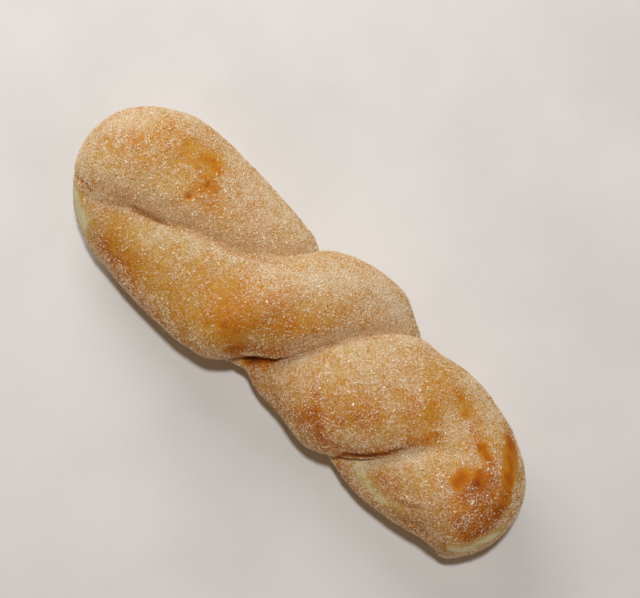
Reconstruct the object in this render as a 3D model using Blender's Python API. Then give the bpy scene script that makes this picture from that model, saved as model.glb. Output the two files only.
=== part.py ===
"""Twist doughnut: a rope of yeast dough folded in two, twisted on itself, fried and rolled in sugar.

Units are metres and +Z is up. +X runs along the twist, from the loose ends of the rope to the end where it
is folded. The doughnut rests on Z = 0, on the undersides of its lobes.

The two strands have grown together in the oil, so the doughnut is one solid. It is a loft: each section
across the twist is two merged round strands with a crease between them, and the sections turn on their way
along, so that the creases wind round the doughnut.
"""

import math
from collections import namedtuple

import bmesh
import bpy
import numpy as np

# Driving dimensions
LENGTH = 0.175
HALF_WIDTH = 0.027
HALF_HEIGHT = 0.0200
MID_HEIGHT = 0.0186

# How far each end takes to close, seen from above and from the side
FROM_ABOVE = 0
FROM_THE_SIDE = 1
LOOSE_END_ROUNDING = (0.030, 0.024)
FOLDED_END_ROUNDING = (0.015, 0.018)

# The loft's net, closer at the ends and in the creases
SECTIONS = 88
SIDES = 44
SECTION_CROWDING = 0.5
SIDE_CROWDING = 0.36

# A table is read as its mean over a short window, so that no station shows as a kink
WINDOW = 0.003
WINDOW_SAMPLES = 9

# Creases between the strands
VALLEY_ROUNDING = 0.02
CREASE_HALF_ANGLE = math.radians(9)
CREASE_SHARPNESS = 1.5

# The sugared crust
CRUST_COLOUR = (0.46, 0.26, 0.10, 1.0)
CRUST_ROUGHNESS = 0.6

# Stations along X: the angle of the first crease round the twist, from +Y up towards +Z
FIRST_CREASE_DEGREES = (
    (-0.088, 172),
    (-0.072, 145),
    (-0.061, 120),
    (-0.041, 90),
    (-0.024, 70),
    (-0.015, 42),
    (-0.0115, 0),
    (-0.007, -16),
    (0.004, -45),
    (0.009, -73),
    (0.022, -138),
    (0.0335, -180),
    (0.041, -202),
    (0.053, -262),
    (0.088, -340),
)

# How far the second crease has turned beyond the point opposite the first
SECOND_CREASE_LEAD_DEGREES = (
    (-0.050, 0),
    (-0.030, -15),
    (-0.020, -22),
    (-0.015, -16),
    (-0.011, 10),
    (-0.007, 16),
    (0.004, 13),
    (0.015, 0),
    (0.030, -12),
    (0.050, 0),
)

# The section's reach sideways, as a share of the half width
GIRTH = (
    (-0.088, 1.06),
    (-0.060, 1.01),
    (-0.028, 1.02),
    (-0.018, 1.03),
    (-0.010, 1.09),
    (-0.004, 0.99),
    (0.003, 1.02),
    (0.012, 0.96),
    (0.023, 1.05),
    (0.030, 1.10),
    (0.036, 1.02),
    (0.048, 0.95),
    (0.066, 0.84),
    (0.073, 0.75),
    (0.088, 0.69),
)

# How far the middle of the section lies to +Y
SWAY = (
    (-0.088, -0.0002),
    (-0.062, -0.0010),
    (-0.030, -0.0026),
    (-0.012, -0.0030),
    (-0.003, 0.0030),
    (0.006, 0.0031),
    (0.014, 0.0038),
    (0.026, 0.0006),
    (0.033, -0.0002),
    (0.042, 0.0005),
    (0.068, 0.0002),
    (0.079, -0.0021),
    (0.088, -0.0022),
)

# How far apart the middles of the two strands lie, as a share of a strand's radius
STRAND_SPREAD = (
    (-0.088, 0.10),
    (-0.070, 0.22),
    (-0.040, 0.24),
    (0.000, 0.30),
    (0.030, 0.28),
    (0.052, 0.22),
    (0.066, 0.10),
    (0.080, 0.0),
)

# How deep each crease cuts below the valley between the strands, as a share of the section's reach
FIRST_CREASE_DEPTH = (
    (-0.088, 0.0),
    (-0.070, 0.06),
    (-0.025, 0.05),
    (-0.012, 0.03),
    (0.030, 0.10),
    (0.042, 0.11),
    (0.052, 0.06),
    (0.058, 0.0),
)
SECOND_CREASE_DEPTH = (
    (-0.088, 0.0),
    (-0.060, 0.05),
    (-0.020, 0.08),
    (-0.004, 0.16),
    (0.008, 0.09),
    (0.040, 0.07),
    (0.075, 0.0),
)

# Where the folded end is tucked under: a nub, and the hollow beside it
Lump = namedtuple("Lump", "x degrees rise reach")
LUMPS = (
    Lump(x=0.0795, degrees=-165, rise=0.0016, reach=0.0042),
    Lump(x=0.0720, degrees=-172, rise=-0.0012, reach=0.0050),
)


def along(stations, x):
    """Reads a table at x."""
    places, values = zip(*stations)
    window = x + np.linspace(-WINDOW, WINDOW, WINDOW_SAMPLES)
    return float(np.interp(window, places, values).mean())


def end_closing(x, view):
    """Gives the share of its full size that a section near an end still has: a quarter of an ellipse."""
    rounding = LOOSE_END_ROUNDING[view] if x < 0 else FOLDED_END_ROUNDING[view]
    into_end = max(0.0, abs(x) - LENGTH / 2 + rounding) / rounding
    return math.sqrt(max(0.0, 1 - into_end ** 2))


def crease_notch(depth, angle_from_crease):
    """Gives how far a crease cuts into the section at an angle away from its bottom."""
    return depth * math.exp(-(abs(angle_from_crease) / CREASE_HALF_ANGLE) ** CREASE_SHARPNESS)


def section_radius(x, angle):
    """Gives the radius at an angle from the first crease, as a share of the merged strands' reach."""
    spread = along(STRAND_SPREAD, x)
    out_of_valley = math.hypot(math.sin(angle), VALLEY_ROUNDING)
    radius = spread * out_of_valley + math.sqrt(1 - (spread * math.cos(angle)) ** 2)
    radius /= 1 + spread
    from_first = math.remainder(angle, math.tau)
    from_second = math.remainder(angle - math.pi, math.tau)
    radius -= crease_notch(along(FIRST_CREASE_DEPTH, x), from_first)
    radius -= crease_notch(along(SECOND_CREASE_DEPTH, x), from_second)
    return radius


def lump_rise(x, direction, distance):
    """Gives how far the lumps push the crust out, at a direction and a distance from the section's middle."""
    rise = 0.0
    for lump in LUMPS:
        sideways = distance * math.remainder(direction - math.radians(lump.degrees), math.tau)
        rise += lump.rise * math.exp(-((x - lump.x) ** 2 + sideways ** 2) / lump.reach ** 2)
    return rise


def section_points(x):
    """Gives the points of the section at x, closer together towards both creases."""
    first_crease = math.radians(along(FIRST_CREASE_DEGREES, x))
    lead = math.radians(along(SECOND_CREASE_LEAD_DEGREES, x))
    half_width = HALF_WIDTH * along(GIRTH, x) * end_closing(x, FROM_ABOVE)
    half_height = HALF_HEIGHT * end_closing(x, FROM_THE_SIDE)
    sway = along(SWAY, x)
    points = []
    for side in range(SIDES):
        turn = math.tau * side / SIDES
        angle = turn - SIDE_CROWDING * math.sin(2 * turn)
        radius = section_radius(x, angle)
        direction = first_crease + angle + lead * (1 - math.cos(angle)) / 2
        lump = lump_rise(x, direction, half_width * radius)
        y = sway + (half_width * radius + lump) * math.cos(direction)
        z = MID_HEIGHT + (half_height * radius + lump) * math.sin(direction)
        points.append((x, y, z))
    return points


def section_places():
    """Gives the place of each section along X, closer together towards the round ends."""
    for step in range(1, SECTIONS):
        even = 2 * step / SECTIONS - 1
        crowded = math.sin(math.pi / 2 * even)
        yield LENGTH / 2 * ((1 - SECTION_CROWDING) * even + SECTION_CROWDING * crowded)


def dough_mesh():
    """Lofts the dough through its sections and closes each end in a pole."""
    net = bmesh.new()
    rings = [[net.verts.new(point) for point in section_points(x)] for x in section_places()]
    for ring, following in zip(rings, rings[1:]):
        for side in range(SIDES):
            beside = (side + 1) % SIDES
            net.faces.new((ring[side], ring[beside], following[beside], following[side]))
    for ring, x in ((rings[0], -LENGTH / 2), (rings[-1], LENGTH / 2)):
        pole = net.verts.new((x, along(SWAY, x), MID_HEIGHT))
        for side in range(SIDES):
            net.faces.new((ring[side], ring[(side + 1) % SIDES], pole))
    bmesh.ops.recalc_face_normals(net, faces=net.faces)
    bmesh.ops.triangulate(net, faces=net.faces, quad_method="SHORT_EDGE")
    mesh = bpy.data.meshes.new("twist_doughnut")
    net.to_mesh(mesh)
    net.free()
    mesh.shade_smooth()
    return mesh


def crust_material():
    """Gives the golden brown of the fried and sugared crust."""
    material = bpy.data.materials.new("sugared_crust")
    material.use_nodes = True
    shader = material.node_tree.nodes["Principled BSDF"]
    shader.inputs["Base Color"].default_value = CRUST_COLOUR
    shader.inputs["Roughness"].default_value = CRUST_ROUGHNESS
    return material


def table_cutter(collection):
    """Adds a block whose top is the table, to flatten the dough where its lobes rest."""
    bpy.ops.mesh.primitive_cube_add(size=2 * LENGTH, location=(0, 0, -LENGTH))
    cutter = bpy.context.object
    cutter.name = "table_cutter"
    cutter.hide_render = True
    cutter.display_type = "WIRE"
    for holder in list(cutter.users_collection):
        holder.objects.unlink(cutter)
    collection.objects.link(cutter)
    return cutter


def new_collection(name):
    """Adds an empty collection to the scene."""
    collection = bpy.data.collections.new(name)
    bpy.context.scene.collection.children.link(collection)
    return collection


def build():
    """Builds the doughnut."""
    for left_over in list(bpy.data.objects):
        bpy.data.objects.remove(left_over)

    mesh = dough_mesh()
    mesh.materials.append(crust_material())
    dough = bpy.data.objects.new("twist_doughnut", mesh)
    new_collection("twist_doughnut").objects.link(dough)

    flat_base = dough.modifiers.new("flat_base", "BOOLEAN")
    flat_base.operation = "DIFFERENCE"
    flat_base.solver = "EXACT"
    flat_base.object = table_cutter(new_collection("cutters"))


build()
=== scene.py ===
"""Twist doughnut, dressed: a twisted rope of fried dough rolled in sugar.

The dough follows the same rule as the solid, with a finer net, and is then pressed, wrinkled and browned, and
given painted shade and painted light.
The sugar on it is real grains. Units are metres. +X runs along the twist towards the end where the rope is
folded, and the doughnut rests on Z = 0.
"""

import logging
import math
from dataclasses import dataclass, field
from enum import Enum
from typing import Iterator

import bmesh
import bpy
import numpy as np
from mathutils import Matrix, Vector
from mathutils.bvhtree import BVHTree


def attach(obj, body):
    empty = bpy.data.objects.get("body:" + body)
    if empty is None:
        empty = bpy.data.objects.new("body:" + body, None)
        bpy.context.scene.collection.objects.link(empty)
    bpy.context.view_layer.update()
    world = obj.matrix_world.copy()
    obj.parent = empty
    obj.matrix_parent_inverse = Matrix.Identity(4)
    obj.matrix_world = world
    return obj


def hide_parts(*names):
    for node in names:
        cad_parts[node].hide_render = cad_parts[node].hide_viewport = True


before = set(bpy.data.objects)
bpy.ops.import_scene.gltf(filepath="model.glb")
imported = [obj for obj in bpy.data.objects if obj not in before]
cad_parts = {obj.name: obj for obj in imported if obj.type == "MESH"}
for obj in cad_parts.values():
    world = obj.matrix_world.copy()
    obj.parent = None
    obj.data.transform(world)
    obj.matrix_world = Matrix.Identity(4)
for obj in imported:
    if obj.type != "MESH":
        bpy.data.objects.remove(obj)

LOG = logging.getLogger("twist_doughnut")

SOLID = "twist_doughnut"
BODY = "root"
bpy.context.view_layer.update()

MM = 0.001
TINY = 1e-9

Colour = tuple[float, float, float, float]
Places = tuple[tuple[float, float], ...]


def shade(red: int, green: int, blue: int) -> Colour:
    """Gives a colour from its red, green and blue as seen on a screen, each out of 255."""
    seen = (red / 255, green / 255, blue / 255)
    return (*(((part + 0.055) / 1.055) ** 2.4 for part in seen), 1.0)


class Term:
    """A value on its way through a node tree. Arithmetic on it adds the nodes that work it out."""

    def __init__(self, recipe: "Recipe", socket: bpy.types.NodeSocket) -> None:
        """Holds the socket that the value comes out of."""
        self.recipe = recipe
        self.socket = socket

    def worked(self, operation: str, *others: "Term | float") -> "Term":
        """Adds a Math node that takes this value first."""
        return self.recipe.math(operation, self, *others)

    def __add__(self, other: "Term | float") -> "Term":
        """Adds."""
        return self.worked("ADD", other)

    def __sub__(self, other: "Term | float") -> "Term":
        """Takes away."""
        return self.worked("SUBTRACT", other)

    def __rsub__(self, other: float) -> "Term":
        """Takes this value away from a number."""
        return self.recipe.math("SUBTRACT", other, self)

    def __mul__(self, other: "Term | float") -> "Term":
        """Multiplies."""
        return self.worked("MULTIPLY", other)

    def __truediv__(self, other: "Term | float") -> "Term":
        """Divides."""
        return self.worked("DIVIDE", other)

    def __pow__(self, other: "Term | float") -> "Term":
        """Raises to a power."""
        return self.worked("POWER", other)

    __radd__ = __add__
    __rmul__ = __mul__

    def sine(self) -> "Term":
        """Gives the sine of an angle in radians."""
        return self.worked("SINE")

    def cosine(self) -> "Term":
        """Gives the cosine of an angle in radians."""
        return self.worked("COSINE")

    def root(self) -> "Term":
        """Gives the square root."""
        return self.worked("SQRT")

    def exponential(self) -> "Term":
        """Gives e to the power of the value."""
        return self.worked("EXPONENT")

    def magnitude(self) -> "Term":
        """Gives the value without its sign."""
        return self.worked("ABSOLUTE")

    def at_least(self, other: "Term | float") -> "Term":
        """Gives the larger of two values."""
        return self.worked("MAXIMUM", other)

    def at_most(self, other: "Term | float") -> "Term":
        """Gives the smaller of two values."""
        return self.worked("MINIMUM", other)

    def below(self, other: "Term | float") -> "Term":
        """Gives 1 where this value is the smaller one, and otherwise 0."""
        return self.worked("LESS_THAN", other)

    def half_turn_wrapped(self) -> "Term":
        """Brings an angle to within half a turn of zero."""
        return self.worked("WRAP", math.pi, -math.pi)

    def stepped(self, low: "Term | float", high: "Term | float") -> "Term":
        """Rises smoothly from 0 at low to 1 at high."""
        ramp = self.recipe.node(
            "ShaderNodeMapRange",
            {"Value": self, "From Min": low, "From Max": high},
            interpolation_type="SMOOTHSTEP",
        )
        return self.recipe.out(ramp, "Result")


class Recipe:
    """Puts a node tree together, a node at a time."""

    def __init__(self, tree: bpy.types.NodeTree) -> None:
        """Holds the tree to work on."""
        self.tree = tree

    def feed(self, socket: bpy.types.NodeSocket, value: object) -> None:
        """Links a term to a socket, or sets the socket to a plain value."""
        if isinstance(value, Term):
            self.tree.links.new(value.socket, socket)
        else:
            socket.default_value = value

    def node(self, kind: str, inputs: dict[str, object] | None = None, **settings: object) -> bpy.types.Node:
        """Adds a node.

        Args:
            kind: the node's type.
            inputs: what goes into its sockets, by the sockets' identifiers.
            **settings: its properties.

        Returns:
            The new node.
        """
        made = self.tree.nodes.new(kind)
        for name, value in settings.items():
            setattr(made, name, value)
        sockets = {socket.identifier: socket for socket in made.inputs}
        for identifier, value in (inputs or {}).items():
            self.feed(sockets[identifier], value)
        return made

    def out(self, node: bpy.types.Node, name: str) -> Term:
        """Gives what comes out of a node's socket of that name."""
        return Term(self, node.outputs[name])

    def math(self, operation: str, *values: Term | float) -> Term:
        """Adds a Math node and gives its result."""
        made = self.node("ShaderNodeMath", operation=operation)
        for socket, value in zip(made.inputs, values):
            self.feed(socket, value)
        return self.out(made, "Value")

    def noise(self, place: Term, size: float, detail: float, seed: float, swirl: float = 0.0) -> Term:
        """Adds an unevenness, from 0 to 1 and mostly near the middle.

        Args:
            place: where it is read.
            size: about how large its patches are, in metres.
            detail: how much finer detail they have.
            seed: what tells one unevenness from another.
            swirl: how far it is drawn into swirls.

        Returns:
            The unevenness at each place.
        """
        made = self.node(
            "ShaderNodeTexNoise",
            {"Vector": place, "W": seed, "Scale": 1 / size, "Detail": detail, "Distortion": swirl},
            noise_dimensions="4D",
        )
        return Term(self, made.outputs[0])

    def blended(self, share: Term | float, first: Term | Colour, second: Term | Colour) -> Term:
        """Mixes two colours, from all of the first at 0 to all of the second at 1."""
        made = self.node(
            "ShaderNodeMix",
            {"Factor_Float": share, "A_Color": first, "B_Color": second},
            data_type="RGBA",
        )
        return Term(self, next(socket for socket in made.outputs if socket.identifier == "Result_Color"))


class ShapeRecipe(Recipe):
    """A Geometry Nodes tree with named inputs, and the run that turns it into a plain mesh."""

    def __init__(self, name: str) -> None:
        """Starts the tree with one mesh going in and one coming out."""
        super().__init__(bpy.data.node_groups.new(name, "GeometryNodeTree"))
        self.values: dict[str, float | int] = {}
        for way in ("INPUT", "OUTPUT"):
            self.tree.interface.new_socket("Geometry", in_out=way, socket_type="NodeSocketGeometry")
        self.start = self.tree.nodes.new("NodeGroupInput")
        self.end = self.tree.nodes.new("NodeGroupOutput")

    def size(self, name: str, value: float | int) -> Term:
        """Adds a named input, with the value that it takes in the run."""
        kind = "NodeSocketInt" if isinstance(value, int) else "NodeSocketFloat"
        socket = self.tree.interface.new_socket(name, in_out="INPUT", socket_type=kind)
        self.values[socket.identifier] = value
        return self.out(self.start, name)

    def place(self) -> Term:
        """Gives the place of each point."""
        return self.out(self.node("GeometryNodeInputPosition"), "Position")

    def scaled(self, vector: Term, scale: Term) -> Term:
        """Makes a vector longer or shorter."""
        made = self.node("ShaderNodeVectorMath", {"Vector": vector, "Scale": scale}, operation="SCALE")
        return self.out(made, "Vector")

    def kept(self, geometry: Term, name: str, value: Term, domain: str = "POINT") -> Term:
        """Stores a value on the mesh under a name."""
        stored = self.node(
            "GeometryNodeStoreNamedAttribute",
            {"Geometry": geometry, "Name": name, "Value": value},
            data_type="FLOAT",
            domain=domain,
        )
        return self.out(stored, "Geometry")

    def random(self, low: float | tuple, high: float | tuple, seed: int) -> Term:
        """Draws a number, or a vector, for each point."""
        kind, ending = ("FLOAT_VECTOR", "") if isinstance(low, tuple) else ("FLOAT", "_001")
        made = self.node(
            "FunctionNodeRandomValue",
            {f"Min{ending}": low, f"Max{ending}": high, "Seed": seed},
            data_type=kind,
        )
        return Term(self, next(socket for socket in made.outputs if socket.enabled))

    def finish(self, geometry: Term, material: bpy.types.Material) -> None:
        """Ends the tree: all of it real mesh, in one material."""
        real = self.node("GeometryNodeRealizeInstances", {"Geometry": geometry})
        dressed = self.node(
            "GeometryNodeSetMaterial",
            {"Geometry": self.out(real, "Geometry"), "Material": material},
        )
        self.tree.links.new(dressed.outputs["Geometry"], self.end.inputs["Geometry"])

    def run(self, name: str, start: bpy.types.Mesh) -> bpy.types.Object:
        """Runs the tree on a mesh.

        Args:
            name: the name of the piece.
            start: the mesh that goes in.

        Returns:
            The piece, with the result as its own plain mesh and no modifier.
        """
        piece = bpy.data.objects.new(name, start)
        bpy.context.scene.collection.objects.link(piece)
        modifier = piece.modifiers.new(self.tree.name, "NODES")
        modifier.node_group = self.tree
        for identifier, value in self.values.items():
            modifier[identifier] = value
        graph = bpy.context.evaluated_depsgraph_get()
        made = bpy.data.meshes.new_from_object(
            piece.evaluated_get(graph), preserve_all_data_layers=True, depsgraph=graph
        )
        piece.modifiers.remove(modifier)
        piece.data = made
        made.name = name
        used = next(material for material in made.materials if material)
        made.materials.clear()
        made.materials.append(used)
        made.polygons.foreach_set("material_index", [0] * len(made.polygons))
        return piece


class FinishRecipe(Recipe):
    """A material's node tree, and the shader that it feeds."""

    def __init__(self, name: str) -> None:
        """Starts the material with its shader and a place on the object."""
        self.material = bpy.data.materials.new(name)
        self.material.use_nodes = True
        super().__init__(self.material.node_tree)
        self.place = self.out(self.node("ShaderNodeTexCoord"), "Object")

    def stored(self, name: str) -> Term:
        """Gives a value that is stored on the mesh."""
        return self.out(self.node("ShaderNodeAttribute", attribute_name=name), "Fac")

    def dress(self, values: dict[str, object]) -> bpy.types.Material:
        """Feeds the shader's sockets, by their names, and gives the finished material."""
        sockets = self.tree.nodes["Principled BSDF"].inputs
        for name, value in values.items():
            self.feed(sockets[name], value)
        return self.material


@dataclass(frozen=True)
class CrustFinish:
    """Fried crust: from pale unbrowned dough through gold and orange to deep brown, under a dust of sugar.

    Attributes:
        ramp: the crust's colours as it browns.
        painted_gap_shade: the painted shade between the grains of sugar.
        dust: sugar too fine to be grains of its own.
        bare_calm: how much more even the bare crust is.
        dust_edges: the noise at which a speck of dust starts and is full.
        dust_spread: how much lower that noise is in the sugary places.
        film: the haze of sugar between the specks.
        gap_edges: the noise at which a gap is full and ends.
    """

    ramp: tuple[tuple[float, Colour], ...] = (
        (0.00, shade(238, 226, 184)),
        (0.20, shade(220, 188, 117)),
        (0.38, shade(208, 156, 68)),
        (0.52, shade(206, 140, 44)),
        (0.64, shade(203, 121, 20)),
        (0.76, shade(180, 94, 6)),
        (0.88, shade(142, 66, 10)),
        (1.00, shade(96, 38, 8)),
    )
    painted_gap_shade: Colour = shade(138, 88, 32)
    # Painted shade: the dull grey-brown that valleys, crease sides and slopes facing away from the light are
    # darkened to.
    painted_shade: Colour = shade(164, 120, 74)
    dust: Colour = shade(236, 212, 182)
    blotch_size: float = 2.6 * MM
    fleck_size: float = 0.8 * MM
    dust_size: float = 0.58 * MM
    dust_swirl: float = 2.0
    blotch_contrast: float = 0.38
    fleck_contrast: float = 0.40
    bare_calm: float = 0.75
    dust_edges: tuple[float, float] = (0.64, 0.68)
    dust_spread: float = 0.24
    film: float = 0.12
    thin_dust: float = 0.26
    thick_dust: float = 0.66
    # How much less sugar dust shows under the painted shade.
    painted_shade_clearing: float = 0.4
    gap_edges: tuple[float, float] = (0.38, 0.50)
    gap_depth: float = 0.46
    # How patchy the painted shade is, and how much less of it lies in the gaps between grains.
    painted_shade_flecks: float = 1.6
    painted_shade_gaps: float = 0.25
    roughness: float = 0.62
    bare_roughness: float = 0.55
    specular: float = 0.07
    bump_strength: float = 0.8
    bump_height: float = 0.12 * MM
    fleck_height: float = 0.6
    speck_height: float = 0.6
    blotch_height: float = 0.8
    glow: float = 0.12
    glow_colour: tuple[float, float, float] = (1.0, 0.45, 0.2)
    glow_depth: float = 1.2 * MM

    def browned(self, recipe: Recipe, browning: Term) -> Term:
        """Gives the crust's own colour where it is browned so far."""
        ramp = recipe.node("ShaderNodeValToRGB", {"Fac": browning})
        elements = ramp.color_ramp.elements
        while len(elements) < len(self.ramp):
            elements.new(0.5)
        for element, (position, colour) in zip(elements, self.ramp):
            element.position = position
            element.color = colour
        return recipe.out(ramp, "Color")

    def material(self) -> bpy.types.Material:
        """Makes the crust's material, which reads the browning, sugar, bareness and painted shade of the
        dough.
        """
        recipe = FinishRecipe("sugared_crust")
        browning, sugar, bare, painted_shade = map(recipe.stored, ("browning", "sugar", "bare", "painted_shade"))
        blotches = recipe.noise(recipe.place, self.blotch_size, detail=3.0, seed=1.0)
        flecks = recipe.noise(recipe.place, self.fleck_size, detail=2.0, seed=2.0)
        specks = recipe.noise(recipe.place, self.dust_size, detail=1.0, seed=3.0, swirl=self.dust_swirl)

        patchy = (blotches - 0.5) * self.blotch_contrast + (flecks - 0.5) * self.fleck_contrast
        crust = self.browned(recipe, browning + patchy * (1 - bare * self.bare_calm))
        # Painted shade between the grains: the crust is darkened where the dust leaves gaps.
        painted_gap_shade = (1 - specks.stepped(*self.gap_edges)) * (1 - bare)
        shaded = recipe.blended(painted_gap_shade * self.gap_depth, crust, self.painted_gap_shade)
        # Painted shade: valleys and slopes that face away from the light are darkened, patchily, to a dull
        # grey-brown.
        painted_shade_share = painted_shade * (1.0 + (flecks - 0.5) * self.painted_shade_flecks - painted_gap_shade * self.painted_shade_gaps)
        with_painted_shade = recipe.blended(painted_shade_share, shaded, self.painted_shade)
        speck = specks.stepped(*(edge - sugar * self.dust_spread for edge in self.dust_edges))
        dust = sugar * sugar * self.film + speck * (self.thin_dust + sugar * self.thick_dust)
        dusted = dust * (1 - bare) * (1 - painted_shade * self.painted_shade_clearing)

        height = flecks * self.fleck_height + specks * (1 - bare) * self.speck_height
        bump = recipe.node(
            "ShaderNodeBump",
            {
                "Height": height + blotches * self.blotch_height,
                "Strength": self.bump_strength,
                "Distance": self.bump_height,
            },
        )
        return recipe.dress({
            "Base Color": recipe.blended(dusted, with_painted_shade, self.dust),
            "Roughness": self.roughness - bare * (self.roughness - self.bare_roughness),
            "Normal": recipe.out(bump, "Normal"),
            "Specular IOR Level": self.specular,
            "Subsurface Weight": self.glow,
            "Subsurface Radius": self.glow_colour,
            "Subsurface Scale": self.glow_depth,
        })


@dataclass(frozen=True)
class SugarFinish:
    """Loose sugar: cream white, and warmer on browned crust, under the painted shade and from grain to grain.
    """

    white: Colour = shade(244, 227, 197)
    warm: Colour = shade(210, 154, 86)
    grain_warmth: float = 0.60
    browning_warmth: float = 0.25
    # Grains under the painted shade are warmed and darkened with it.
    painted_shade_warmth: float = 0.5
    cloud_size: float = 0.25 * MM
    cloud_warmth: float = 0.3
    roughness: float = 0.34
    cloud_roughness: float = 0.3
    glow: float = 0.2
    glow_colour: tuple[float, float, float] = (1.0, 0.7, 0.45)
    glow_depth: float = 0.4 * MM

    def material(self) -> bpy.types.Material:
        """Makes the grains' material, which reads each grain's own shade and the browning under it."""
        recipe = FinishRecipe("sugar")
        browning, painted_shade, grain = map(recipe.stored, ("browning", "painted_shade", "grain_shade"))
        cloud = recipe.noise(recipe.place, self.cloud_size, detail=1.0, seed=4.0) - 0.5
        from_below = browning * self.browning_warmth + painted_shade * self.painted_shade_warmth
        warmth = grain * self.grain_warmth + from_below + cloud * self.cloud_warmth
        return recipe.dress({
            "Base Color": recipe.blended(warmth, self.white, self.warm),
            "Roughness": self.roughness + cloud * self.cloud_roughness,
            "Subsurface Weight": self.glow,
            "Subsurface Radius": self.glow_colour,
            "Subsurface Scale": self.glow_depth,
        })


@dataclass(frozen=True)
class FloorFinish:
    """A plain pale floor, very slightly uneven."""

    light: Colour = shade(233, 230, 228)
    dark: Colour = shade(224, 221, 219)
    patch: float = 60 * MM
    patch_edges: tuple[float, float] = (0.35, 0.65)
    roughness: float = 0.7

    def material(self) -> bpy.types.Material:
        """Makes the floor's material."""
        recipe = FinishRecipe("pale_floor")
        cloud = recipe.noise(recipe.place, self.patch, detail=4.0, seed=5.0)
        colour = recipe.blended(cloud.stepped(*self.patch_edges), self.light, self.dark)
        return recipe.dress({"Base Color": colour, "Roughness": self.roughness})


@dataclass(frozen=True)
class Stations:
    """A size that changes on its way along the twist, as pairs of a place along X and a value.

    It is read as the mean over a short window, so that no station shows as a kink. In a tree it is a curve
    that goes as far as the reach to each side of the middle.
    """

    pairs: Places
    window: float = 0.003
    window_samples: int = 9
    reach: float = 0.0885
    curve_points: int = 89

    def at(self, x: float) -> float:
        """Reads the size at x."""
        places, values = zip(*self.pairs)
        window = x + np.linspace(-self.window, self.window, self.window_samples)
        return float(np.interp(window, places, values).mean())

    def along(self, recipe: Recipe, x: Term) -> Term:
        """Adds the size to a tree, as a curve over x."""
        shares = np.linspace(0, 1, self.curve_points)
        sizes = [self.at(self.reach * (2 * share - 1)) for share in shares]
        low = min(sizes)
        span = max(sizes) - low
        node = recipe.node("ShaderNodeFloatCurve", {"Value": (x + self.reach) / (2 * self.reach)})
        points = node.mapping.curves[0].points
        points[0].location = (0.0, (sizes[0] - low) / span)
        points[-1].location = (1.0, (sizes[-1] - low) / span)
        for share, size in list(zip(shares, sizes))[1:-1]:
            points.new(share, (size - low) / span)
        for point in points:
            point.handle_type = "AUTO_CLAMPED"
        node.mapping.update()
        return recipe.out(node, "Value") * span + low


@dataclass(frozen=True)
class Viewpoint:
    """Where the doughnut is looked at from: almost straight above, so that it lies aslant in the view."""

    azimuth: float = math.radians(44)
    elevation: float = math.radians(83)
    distance: float = 0.55
    target: tuple[float, float, float] = (-0.0012, 0.0102, 0.0186)

    def back(self) -> Vector:
        """Gives the direction from the target to the eye."""
        level = math.cos(self.elevation)
        across = math.sin(self.azimuth) * level
        return Vector((across, -math.cos(self.azimuth) * level, math.sin(self.elevation)))

    def eye(self) -> Vector:
        """Gives the place of the eye."""
        return Vector(self.target) + self.back() * self.distance


class Laying(Enum):
    """How a mark's path is laid on the crust."""

    AS_SEEN = "along the line of sight"
    FROM_ABOVE = "straight down"
    FROM_BELOW = "straight up"


@dataclass(frozen=True)
class Mark:
    """Something that the fold, the oil or the sugar left on the crust; some marks are painted shade and
    painted light.

    Attributes:
        path: where it runs, at the doughnut's middle height, in millimetres.
        reach: how far to each side it fades to about a third, in millimetres.
        rise: how far it lifts the crust, in millimetres, or presses it in if negative.
        browning: how much it browns the crust, or keeps it pale if negative; some marks use it to paint shade
            and light.
        sugar: how much more sugar lies there, or less if negative.
        bare: how far the crust shines through, with no sugar on it.
        painted_shade: how far the crust is darkened to a dull grey-brown as painted shade, in valleys and on
            slopes that face away from the light.
        ragged: how uneven it is.
        taper: the share of its length over which it narrows to nothing at each end, or 0 for round ends.
    """

    path: Places
    reach: float
    rise: float = 0.0
    browning: float = 0.0
    sugar: float = 0.0
    bare: float = 0.0
    painted_shade: float = 0.0
    ragged: float = 0.35
    taper: float = 0.0


def beside(path: Places, offset: float) -> Places:
    """Shifts a path sideways, to its left where the offset is positive."""
    points = np.array(path)
    runs = np.gradient(points, axis=0)
    left = np.stack((-runs[:, 1], runs[:, 0]), axis=1)
    left /= np.linalg.norm(left, axis=1, keepdims=True)
    return tuple(map(tuple, points + offset * left))


LOOSE_END_CREASE: Places = (
    (-70.5, -15.3), (-59.2, -10.7), (-50.6, -7.2), (-39.5, -1.9), (-29.1, 1.6), (-23.2, 4),
    (-17.3, 7.9), (-14.4, 11.5), (-12.3, 16.2),
)
MIDDLE_CREASE: Places = (
    (-5.5, -19.1), (-1.9, -16.2), (1.3, -13.9), (4.8, -10), (6.3, -7.7), (9.4, -1.9), (11.7, 1),
    (15.3, 6.3), (18.9, 10.4), (22.6, 15.2), (25.3, 20.3),
)
FOLDED_END_CREASE: Places = (
    (34.8, -21.4), (37.2, -18.9), (40.2, -16.6), (43.1, -13.7), (46.1, -10.2), (47.5, -7.9),
    (50.4, -4.5), (53.4, -2.7),
)

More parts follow.
